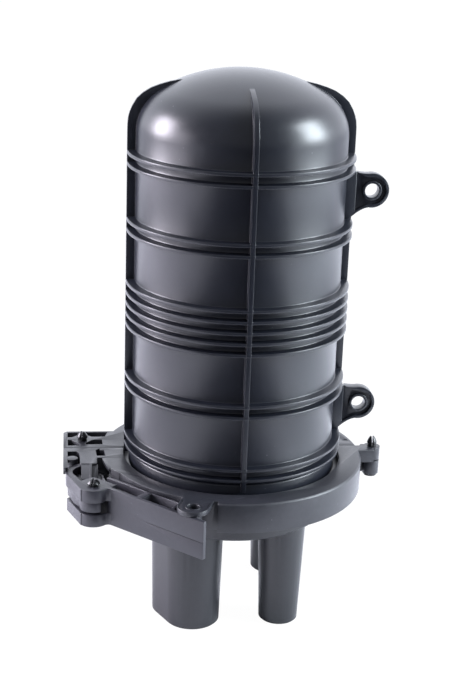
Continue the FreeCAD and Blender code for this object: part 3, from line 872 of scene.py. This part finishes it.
@dataclass
class DomeShell:
    """The ribbed dome with its fins and ears. Heights are above the drum's underside.

    collar_rise is how far above the flange the collar stays straight, and where it ends. ear_top,
    ear_foot and recess_foot are how far an outline's bow and its end are from the eye's height.
    """

    wall_r: float = 83.2
    wall: float = 3.0
    apex: float = 363.4
    cap_r: float = 129.0
    cap_steps: int = 16
    shoulder_r: float = 37.0
    shoulder_steps: int = 12
    turn_steps: int = 160
    ring_r: float = 90.0
    ring_t: float = 3.0
    ring_taper: float = 0.86
    ring_round: float = 0.55
    ring_sharp: float = 30.0
    rings: tuple[float, ...] = (
        55.6, 64.4, 108.2, 117.0, 158.9, 167.6, 176.2, 184.9, 193.6, 236.0, 244.7, 288.5, 297.5)
    collar_r: float = 85.5
    collar_rise: Pair = (12.0, 14.0)
    flange_r: float = 99.0
    flange: Pair = (33.3, 38.5)
    fin_t: float = 3.8
    fin_low: float = 46.5
    fin_high: float = 315.0
    fin_sunk: float = 1.4
    fin_inner_r: float = 41.0
    fin_tip: tuple[Pair, ...] = (
        (43.0, 354.6), (50.0, 353.9), (57.5, 352.3), (65.5, 349.9), (72.0, 347.3), (78.2, 343.4),
        (83.0, 338.9), (86.5, 333.0), (88.3, 328.6), (89.4, 324.5), (89.9, 319.6))
    fin_turns: tuple[int, ...] = (0, 90, 180, 270)
    fin_round: float = 0.7
    ear_x: float = 105.2
    ear_r: float = 13.8
    ear_t: float = 9.0
    ear_sunk: float = 1.2
    ear_top: Pair = (14.4, 17.7)
    ear_foot: Pair = (18.0, 29.0)
    ear_bow: float = 1.0
    ear_rim: float = 2.6
    ear_web: float = 3.6
    ear_round: float = 0.45
    eye_turn: float = 100.0
    eye_steps: int = 28
    recess_back: float = 92.0
    recess_foot: Pair = (15.3, 19.0)
    boss_r: float = 7.8
    bore_r: float = 5.75
    bore_steps: int = 48
    edge_sharp: float = 40.0
    overcut: float = 1.0
    ears: Pair = (269.3, 89.0)

    def crown(self, inset: float) -> list[Pair]:
        """Return the shoulder and cap arcs, from the wall up to the axis.

        Args:
            inset: how far inside the outer face.

        Returns:
            Points as radius and height.
        """
        cap = self.cap_r - inset
        wall = self.wall_r - inset
        small = self.shoulder_r - inset
        low = self.apex - self.cap_r
        reach = cap - small
        across = wall - small
        centre = low + math.sqrt(reach * reach - across * across)
        meet = math.degrees(math.atan2(centre - low, across))
        shoulder = arc((across, centre), small, 0.0, meet, self.shoulder_steps)
        return shoulder + arc((0.0, low), cap, meet, 90.0, self.cap_steps)[1:]

    def profile(self) -> list[Point]:
        """Draw the wall's section with its flange, collar and rings.

        Returns:
            Its places, from the inner apex round to the outer one.
        """
        low, high = self.flange
        rows = self.crown(self.wall)[::-1]
        rows.append((self.wall_r - self.wall, low))
        rows.extend([(self.flange_r, low), (self.flange_r, high), (self.collar_r, high)])
        straight, end = self.collar_rise
        rows.extend([(self.collar_r, high + straight), (self.wall_r, high + end)])
        half = self.ring_t / 2
        rim = half * self.ring_taper
        for z in self.rings:
            rows.extend([(self.wall_r, z - half), (self.ring_r, z - rim)])
            rows.extend([(self.ring_r, z + rim), (self.wall_r, z + half)])
        rows.extend(self.crown(0.0))
        return [(max(r, 0.0), 0.0, z) for r, z in rows]

    def shell(self) -> Bench:
        """Spin the wall's section and round the rings.

        Returns:
            The dome without fins and ears.
        """
        shell = turning("dome_shell", self.profile(), self.turn_steps)
        shell.round_edges(self.ring_round, 3, self.ring_sharp)
        return shell

    def fin(self, deg: int) -> Bench:
        """Draw one fin's outline, thicken it and round its edges.

        Args:
            deg: where it stands round the dome.

        Returns:
            The fin.
        """
        inner = [place for place in self.crown(self.fin_sunk) if place[0] > self.fin_inner_r]
        rows = [(self.wall_r - self.fin_sunk, self.fin_low), *inner, *self.fin_tip]
        rows.extend([(self.ring_r, self.fin_high), (self.ring_r, self.fin_low), rows[0]])
        fin = slab("fin", rows, -self.fin_t / 2, self.fin_t / 2)
        turn = -math.radians(deg)
        bpy.ops.transform.rotate(value=turn, orient_axis="Z", center_override=(0.0, 0.0, 0.0))
        fin.round_edges(self.fin_round, 3, self.edge_sharp)
        return fin

    def ear_outline(self, z: float, radius: float, back: float, foot: Pair) -> list[Pair]:
        """Draw an ear's side, or its recess's.

        Args:
            z: the eye's height.
            radius: the eye's outer radius.
            back: where the outline meets the dome.
            foot: how far below the eye the underside's bow and its end are.

        Returns:
            A closed loop, as x and z.
        """
        rise = radius - self.ear_r
        eye = arc((self.ear_x, z), radius, self.eye_turn, -self.eye_turn, self.eye_steps)
        bow_up, end_up = self.ear_top
        bow_down, end_down = foot
        top = (back, z + end_up + rise)
        low = (back, z - end_down - rise)
        above = ((top[0] + eye[0][0]) / 2 + self.ear_bow, z + bow_up + rise)
        below = ((low[0] + eye[-1][0]) / 2 + self.ear_bow, z - bow_down - rise)
        under = bow(low, below, eye[-1])[::-1]
        return [top, *bow(top, above, eye[0]), *eye, *under, low, top]

    def ear(self, name: str, z: float) -> Bench:
        """Model one ear with a rim, a thin web and a bored boss.

        Args:
            name: the piece's name.
            z: the bore's height.

        Returns:
            The ear.
        """
        half = self.ear_t / 2
        web = self.ear_web / 2
        outside = self.ear_outline(z, self.ear_r, self.wall_r - self.ear_sunk, self.ear_foot)
        ear = slab(name, outside, -half, half)
        inside = self.ear_outline(z, self.ear_r - self.ear_rim, self.recess_back, self.recess_foot)
        for near, far in ((-half - self.overcut, -web), (web, half + self.overcut)):
            ear.carve(slab("ear_recess", inside, near, far))
        boss = arc((self.ear_x, z), self.boss_r, 0.0, FULL_TURN, self.bore_steps)
        ear.carve(slab("ear_boss", boss, -half, half), Carving.ADD)
        bore = arc((self.ear_x, z), self.bore_r, 0.0, FULL_TURN, self.bore_steps)
        ear.carve(slab("ear_bore", bore, -half - self.overcut, half + self.overcut))
        ear.round_edges(self.ear_round, 2, self.edge_sharp)
        return ear

    def build(self) -> None:
        """Model the dome and dress it."""
        finish = DOME_PLASTIC.make()
        shell = self.shell()
        shell.join([self.fin(deg) for deg in self.fin_turns])
        shell.finish(Body.CLOSURE, "dome_plastic", finish, "dome")
        for name, z in zip(("ear_upper", "ear_lower"), self.ears):
            self.ear(name, z).finish(Body.CLOSURE, "dome_plastic", finish)


@dataclass
class PortBase:
    """The drum, its closed ports, the seal and the earth stud."""

    drum: str = "base"
    seal: str = "sealing_ring"
    stud: tuple[str, ...] = ("earth_stud", "earth_nut", "earth_washer")
    edge: float = 0.9

    def build(self) -> None:
        """Round the base's edges and dress it."""
        body = Copied(self.drum, "port_drum")
        body.round_edges(self.edge, 3)
        body.finish(Body.CLOSURE, "base_plastic", BASE_PLASTIC.make(), self.drum)
        dress([self.seal], SEAL_RUBBER.make())
        dress(self.stud, STUD_BRASS.make())


@dataclass(frozen=True)
class StemRib:
    """One rib of the pivot bracket's stem: its sides, its slope's lift and its foot's reach."""

    left: float
    right: float
    lift: float
    reach: float


@dataclass
class VClamp:
    """Both clamp halves, with their moulded edges rounded.

    corner is drawn by radius and angle, stem_side by y and z, and web by x and y.
    """

    edge: float = 0.45
    ring_r: float = 108.9
    roof_in: float = 104.9
    roof: Pair = (42.3, 45.0)
    roof_turn: Pair = (187.0, 199.0)
    roof_steps: int = 16
    corner: tuple[Pair, ...] = (
        (110.5, 197.0), (107.4, 200.0), (105.6, 202.5), (104.4, 206.0), (110.5, 206.0))
    corner_z: Pair = (30.0, 46.0)
    stem_side: tuple[Pair, ...] = (
        (-24.0, 44.6), (-24.9, 44.6), (-43.4, 39.4), (-43.4, 36.2), (-24.0, 36.2))
    stem_slope_z: float = 37.0
    stem_ribs: tuple[StemRib, ...] = (
        StemRib(left=-125.3, right=-118.3, lift=0.0, reach=-43.4),
        StemRib(left=-117.2, right=-112.9, lift=-0.9, reach=-43.4),
        StemRib(left=-113.1, right=-111.8, lift=-0.9, reach=-41.3),
        StemRib(left=-118.6, right=-116.6, lift=0.8, reach=-43.4),
    )
    web: tuple[Pair, ...] = ((-112.6, -8.0), (-103.5, -8.0), (-103.5, -5.6), (-112.6, -5.6))
    web_z: Pair = (21.4, 41.0)

    def sweep_roof(self) -> Bench:
        """Model the top of the ring over the lever head's sweep.

        Returns:
            The roof.
        """
        start, end = self.roof_turn
        outline = arc((0.0, 0.0), self.ring_r, start, end, self.roof_steps)
        outline.extend(arc((0.0, 0.0), self.roof_in, end, start, self.roof_steps))
        return plate("sweep_roof", outline, *self.roof)

    def corner_cut(self) -> Bench:
        """Return what is cut off the ring's corner beside the lever's recess."""
        return plate("corner_cut", [ring_point(r, deg) for r, deg in self.corner], *self.corner_z)

    def stem(self, rib: StemRib) -> Bench:
        """Draw one rib of the pivot bracket's sloping stem and thicken it sideways.

        Args:
            rib: its sizes.

        Returns:
            The rib.
        """
        rows = []
        for y, z in self.stem_side:
            lift = rib.lift if z > self.stem_slope_z else 0.0
            rows.append((rib.left, max(y, rib.reach), z + lift))
        rows.append(rows[0])
        return prism("stem", rows, (rib.right - rib.left, 0.0, 0.0))

    def build(self) -> None:
        """Round both halves and dress them."""
        finish = CLAMP_PLASTIC.make()
        front = Copied("clamp_front_half", "clamp_front")
        front.carve(self.sweep_roof(), Carving.ADD)
        front.carve(self.corner_cut())
        for rib in self.stem_ribs:
            front.carve(self.stem(rib), Carving.ADD)
        front.carve(plate("end_web", self.web, *self.web_z), Carving.ADD)
        front.round_edges(self.edge, 2)
        front.finish(Body.CLOSURE, "clamp_plastic", finish, "clamp_front_half")
        back = Copied("clamp_back_half", "clamp_back")
        back.round_edges(self.edge, 2)
        back.finish(Body.BACK_HALF, "clamp_plastic", finish, "clamp_back_half")
        LockTab().build(finish)


@dataclass
class LockTab:
    """The raised rim and bored boss on the tab that a lock passes through."""

    at: Pair = (-41.0, -111.0)
    top: float = 45.0
    sunk: float = 0.4
    radius: float = 12.45
    rim: float = 1.15
    rim_proud: float = 0.55
    rim_round: float = 0.3
    rim_steps: int = 28
    reach: float = 10.0
    hole_r: float = 5.05
    ring_r: float = 6.3
    ring_proud: float = 0.35
    ring_round: float = 0.2
    ring_steps: int = 48

    def band(self) -> list[Pair]:
        """Draw the rim's outline round the tab's free end.

        Returns:
            Its corners, out along the rim's outer side and back along its inner one.
        """
        turn = math.degrees(math.atan2(self.at[1], self.at[0]))
        ahead = Vector((math.cos(math.radians(turn)), math.sin(math.radians(turn))))
        side = Vector((-ahead.y, ahead.x))
        rows = []
        for r, order in ((self.radius, 1), (self.radius - self.rim, -1)):
            start = Vector(self.at) - ahead * self.reach + side * r
            end = Vector(self.at) - ahead * self.reach - side * r
            curve = arc(self.at, r, turn + 90.0, turn - 90.0, self.rim_steps)
            rows.extend([tuple(start), *curve, tuple(end)][::order])
        return rows

    def build(self, finish: bpy.types.Material) -> None:
        """Model the rim and the ring round the bore.

        Args:
            finish: the clamp's finish.
        """
        low = self.top - self.sunk
        rim = plate("tab_rim", self.band(), low, self.top + self.rim_proud)
        rim.round_edges(self.rim_round, 2)
        rim.finish(Body.CLOSURE, "clamp_plastic", finish)
        high = self.top + self.ring_proud
        corners = [(self.hole_r, low), (self.hole_r, high), (self.ring_r, high), (self.ring_r, low)]
        section = [(self.at[0] + r, self.at[1], z) for r, z in [*corners, corners[0]]]
        ring = turning("tab_bore_ring", section, self.ring_steps, self.at)
        ring.round_edges(self.ring_round, 2)
        ring.finish(Body.CLOSURE, "clamp_plastic", finish)


@dataclass(frozen=True)
class SnapPin:
    """A moulded pin with a split, barbed head. Heights are above the drum's underside.

    The head's outline is given in shares of the bulb's radius and of the head's height.
    """

    name: str
    node: str
    body: Body
    at: Pair
    shaft: float
    low: float
    high: float
    bulb: float
    tall: float
    split_deg: float
    head: tuple[Pair, ...] = (
        (0.34, 1.0), (0.50, 0.93), (0.74, 0.74), (0.92, 0.54), (1.0, 0.42), (0.97, 0.34))
    neck: float = 0.25
    foot: float = 5.5
    foot_t: float = 2.0
    split: float = 1.5
    split_past: float = 2.0
    split_lift: float = 1.0
    split_over: float = 3.0
    edge: float = 0.35
    sharp: float = 30.0
    turn_steps: int = 40

    def section(self) -> list[Point]:
        """Draw the pin's half section.

        Returns:
            Its places, from the top of the head to the foot.
        """
        rows = [(0.0, self.high + self.tall)]
        rows.extend((self.bulb * r, self.high + self.tall * h) for r, h in self.head)
        rows.extend([(self.shaft, self.high + self.tall * self.neck), (self.shaft, self.low)])
        under = self.low - self.foot_t
        rows.extend([(self.foot, self.low), (self.foot, under), (0.0, under)])
        return [(self.at[0] + r, self.at[1], z) for r, z in rows]

    def slot(self) -> Bench:
        """Model the slab that splits the head.

        Returns:
            The slab.
        """
        a = math.radians(self.split_deg)
        along = Vector((math.cos(a), math.sin(a), 0.0)) * (self.bulb + self.split_past)
        across = Vector((-math.sin(a), math.cos(a), 0.0)) * self.split / 2
        centre = Vector((*self.at, self.high + self.split_lift))
        corners = ((-1.0, -1.0), (1.0, -1.0), (1.0, 1.0), (-1.0, 1.0), (-1.0, -1.0))
        loop = [tuple(centre + along * i + across * j) for i, j in corners]
        return prism("slot", loop, (0.0, 0.0, self.tall + self.split_over))

    def build(self, material: bpy.types.Material) -> None:
        """Spin the pin, split its head and round it.

        Args:
            material: its finish.
        """
        pin = turning(self.name, self.section(), self.turn_steps, self.at)
        pin.carve(self.slot())
        pin.round_edges(self.edge, 2, self.sharp)
        pin.finish(self.body, "pin_plastic", material, self.node)


PINS = (
    SnapPin(
        "front_pin", "link_front_pin", Body.LEVER, at=(-116.0, -60.5), shaft=3.75,
        low=10.5, high=41.5, bulb=5.25, tall=5.5, split_deg=76.0),
    SnapPin(
        "rear_pin", "link_rear_pin", Body.BACK_HALF, at=(-124.0, 27.0), shaft=3.75,
        low=19.0, high=45.0, bulb=4.6, tall=7.6, split_deg=70.0),
    SnapPin(
        "hinge_pin", "clamp_hinge_pin", Body.CLOSURE, at=(122.0, 8.0), shaft=3.5,
        low=21.0, high=45.0, bulb=4.2, tall=8.9, split_deg=90.0),
)


@dataclass
class Latch:
    """Lever, link and pins. Places along and out follow the lever's bar."""

    lever: str = "latch_lever"
    link: str = "latch_link"
    pivot: str = "lever_pivot_pin"
    edge: float = 0.5
    face: float = 120.0
    start: float = 8.0
    end: float = 65.5
    line_z: float = 24.0
    line: float = 0.45
    line_depth: float = 0.35
    overcut: float = 0.5
    wall_along: Pair = (-50.5, -30.9)
    wall_out: Pair = (103.4, 104.9)
    wall_z: Pair = (18.5, 31.3)

    def parting(self) -> Bench:
        """Model the groove that the mould's parting line leaves on the bar.

        Returns:
            What is cut out.
        """
        along = (self.start, self.end + self.overcut)
        out = (self.face - self.line_depth, self.face + self.overcut)
        return bar_block("parting", along, out, (self.line_z, self.line_z + self.line))

    def slot_wall(self) -> Bench:
        """Return the thin wall that closes the link's slot on the dome's side."""
        return bar_block("slot_wall", self.wall_along, self.wall_out, self.wall_z)

    def build(self) -> None:
        """Model and dress the latch."""
        finish = LEVER_PLASTIC.make()
        lever = Copied(self.lever, "cam_lever")
        lever.carve(self.parting())
        lever.join([self.slot_wall()])
        lever.round_edges(self.edge, 2)
        lever.finish(Body.LEVER, "lever_plastic", finish, self.lever)
        link = Copied(self.link, "pull_link")
        link.round_edges(self.edge, 2)
        link.finish(Body.LINK, "lever_plastic", finish, self.link)
        gloss = PIN_PLASTIC.make()
        for pin in PINS:
            pin.build(gloss)
        dress([self.pivot], gloss)


@dataclass
class TrayStack:
    """Bracket, trays, cover, strap and basket."""

    trays: tuple[str, ...] = (
        "splice_tray_1", "splice_tray_2", "splice_tray_3", "splice_tray_4", "tray_hinge_bar")

    def build(self) -> None:
        """Dress the inner fittings."""
        dress(self.trays, TRAY_PLASTIC.make())
        dress(["splice_holders"], HOLDER_PLASTIC.make())
        dress(["tray_cover"], COVER_SHEET.make())
        dress(["tray_strap"], STRAP_WEB.make())
        dress(["storage_basket"], BASKET_PLASTIC.make())
        dress(["tray_bracket", "cable_clamp_left", "cable_clamp_right"], BRACKET_STEEL.make())
        dress(["bracket_screws", "clamp_bolts"], SCREW_STEEL.make())


@dataclass(frozen=True)
class Softbox:
    """A rectangular lamp. Sizes are in metres."""

    name: str
    at: Point
    size: Pair
    watts: float
    colour: Colour
    aim: Point = (0.0, 0.0, 0.2)

    def build(self) -> None:
        """Hang the lamp and aim it."""
        data = bpy.data.lights.new(self.name, "AREA")
        data.shape = "RECTANGLE"
        data.size, data.size_y = self.size
        data.energy = self.watts
        data.color = self.colour
        lamp = bpy.data.objects.new(self.name, data)
        lamp.location = self.at
        way = Vector(self.aim) - Vector(self.at)
        lamp.rotation_euler = way.to_track_quat("-Z", "Y").to_euler()
        bpy.context.scene.collection.objects.link(lamp)


LEFT_TINT = (0.93, 0.88, 1.0)
RIGHT_TINT = (0.84, 0.93, 1.0)
SOFTBOXES = (
    Softbox("left_key", (-1.48, 0.30, 0.68), size=(0.62, 0.74), watts=46.0, colour=LEFT_TINT),
    Softbox("left_panel", (-1.42, -0.05, 0.41), size=(1.30, 0.65), watts=14.5, colour=LEFT_TINT),
    Softbox("right_key", (1.42, -0.36, 0.84), size=(0.66, 0.92), watts=62.0, colour=RIGHT_TINT),
    Softbox("right_panel", (1.36, -0.44, 0.39), size=(1.30, 0.65), watts=9.5, colour=RIGHT_TINT),
)


@dataclass
class Studio:
    """Camera, lights, floor and surroundings. Lens and sensor are in mm, sizes in metres."""

    lens: float = 73.1
    sensor: float = 36.0
    clip_end: float = 50.0
    pitch: float = 18.35
    roll: float = 2.08
    turn: float = 6.9
    eye: Point = (-0.0009, -1.1081, 0.5017)
    floor_z: float = -0.0854
    floor_size: float = 14.0
    floor_fall: Pair = (0.05, 0.45)
    floor_lit: Colour = (0.82, 0.82, 0.85)
    # Painted shade on the floor in front of the object, seen only by light rays.
    floor_painted_shade: Colour = (0.04, 0.04, 0.05)
    floor_plain: Colour = (0.85, 0.85, 0.85)
    floor_glow: float = 1.02
    glow_share: float = 0.96
    side_share: float = 0.8
    world_tint: Colour = (0.88, 0.91, 1.0)
    world_fall: Pair = (-0.5, 0.45)
    before: float = 0.42
    behind: float = 2.35

    def _turned(self, v: Vector) -> Vector:
        """Turn a camera-fit vector into the part's frame."""
        return Matrix.Rotation(-math.radians(self.turn), 3, "Z") @ v

    def camera(self) -> None:
        """Place the camera at the photographed angle."""
        p = math.radians(self.pitch)
        r = math.radians(self.roll)
        level_up = Vector((0.0, math.sin(p), math.cos(p)))
        level_side = Vector((1.0, 0.0, 0.0))
        ahead = self._turned(Vector((0.0, math.cos(p), -math.sin(p))))
        side = self._turned(math.cos(r) * level_side + math.sin(r) * level_up)
        up = self._turned(-math.sin(r) * level_side + math.cos(r) * level_up)
        turn = Matrix((side, up, -ahead)).transposed().to_4x4()
        data = bpy.data.cameras.new("camera")
        data.lens = self.lens
        data.sensor_width = self.sensor
        data.clip_end = self.clip_end
        cam = bpy.data.objects.new("camera", data)
        cam.matrix_world = Matrix.Translation(self._turned(Vector(self.eye))) @ turn
        bpy.context.scene.collection.objects.link(cam)
        bpy.context.scene.camera = cam

    def floor(self) -> None:
        """Lay a floor that looks white and lights the object only from its sides and behind; to light
        rays its colour is pale there and painted shade in front.
        """
        bpy.ops.object.select_all(action="DESELECT")
        place = (0.0, 0.0, self.floor_z)
        bpy.ops.mesh.primitive_plane_add(size=self.floor_size, location=place)
        plane = bpy.context.object
        plane.name = "floor"
        g = Graph(bpy.data.materials.new("floor_white"))
        at = g.place()
        x = g.axis(at, "X")
        y = g.axis(at, "Y")
        # Painted shade: to light rays the floor's colour is dark in front of the object and pale at its
        # sides and behind.
        dark = (y * -1.0 - abs(x) * self.side_share).smooth(*self.floor_fall)
        colour = g.mix(dark, self.floor_lit, self.floor_painted_shade)
        lit = g.add("ShaderNodeBsdfDiffuse", {}, {"Color": colour})
        plain = g.add("ShaderNodeBsdfDiffuse", {}, {"Color": rgba(self.floor_plain)})
        glow = {"Color": rgba(WHITE), "Strength": self.floor_glow}
        bright = g.add("ShaderNodeEmission", {}, glow)
        seen = g.add("ShaderNodeMixShader", {}, {0: self.glow_share, 1: plain, 2: bright})
        g.add_output(g.camera_mix(lit, seen))
        plane.data.materials.append(g.owner)

    def surroundings(self) -> None:
        """Make the world white to the camera, and lit behind the object."""
        world = bpy.data.worlds.new("studio")
        bpy.context.scene.world = world
        g = Graph(world)
        way = g.add("ShaderNodeTexCoord", {}, {}, "Generated")
        strength = g.axis(way, "Y").smooth(*self.world_fall, self.before, self.behind)
        lit = {"Color": rgba(self.world_tint), "Strength": strength}
        unseen = g.add("ShaderNodeBackground", {}, lit)
        seen = g.add("ShaderNodeBackground", {}, {"Color": rgba(WHITE)})
        g.add_output(g.camera_mix(unseen, seen), "ShaderNodeOutputWorld")

    def build(self) -> None:
        """Set the whole studio."""
        bpy.context.scene.view_settings.view_transform = "Standard"
        self.camera()
        for box in SOFTBOXES:
            box.build()
        self.floor()
        self.surroundings()


def main() -> None:
    """Build every sub-assembly in order."""
    logging.basicConfig(level=logging.INFO)
    for part in (Studio(), DomeShell(), PortBase(), VClamp(), Latch(), TrayStack()):
        part.build()
        LOG.info("built %s", type(part).__name__)


if __name__ == "__main__":
    main()
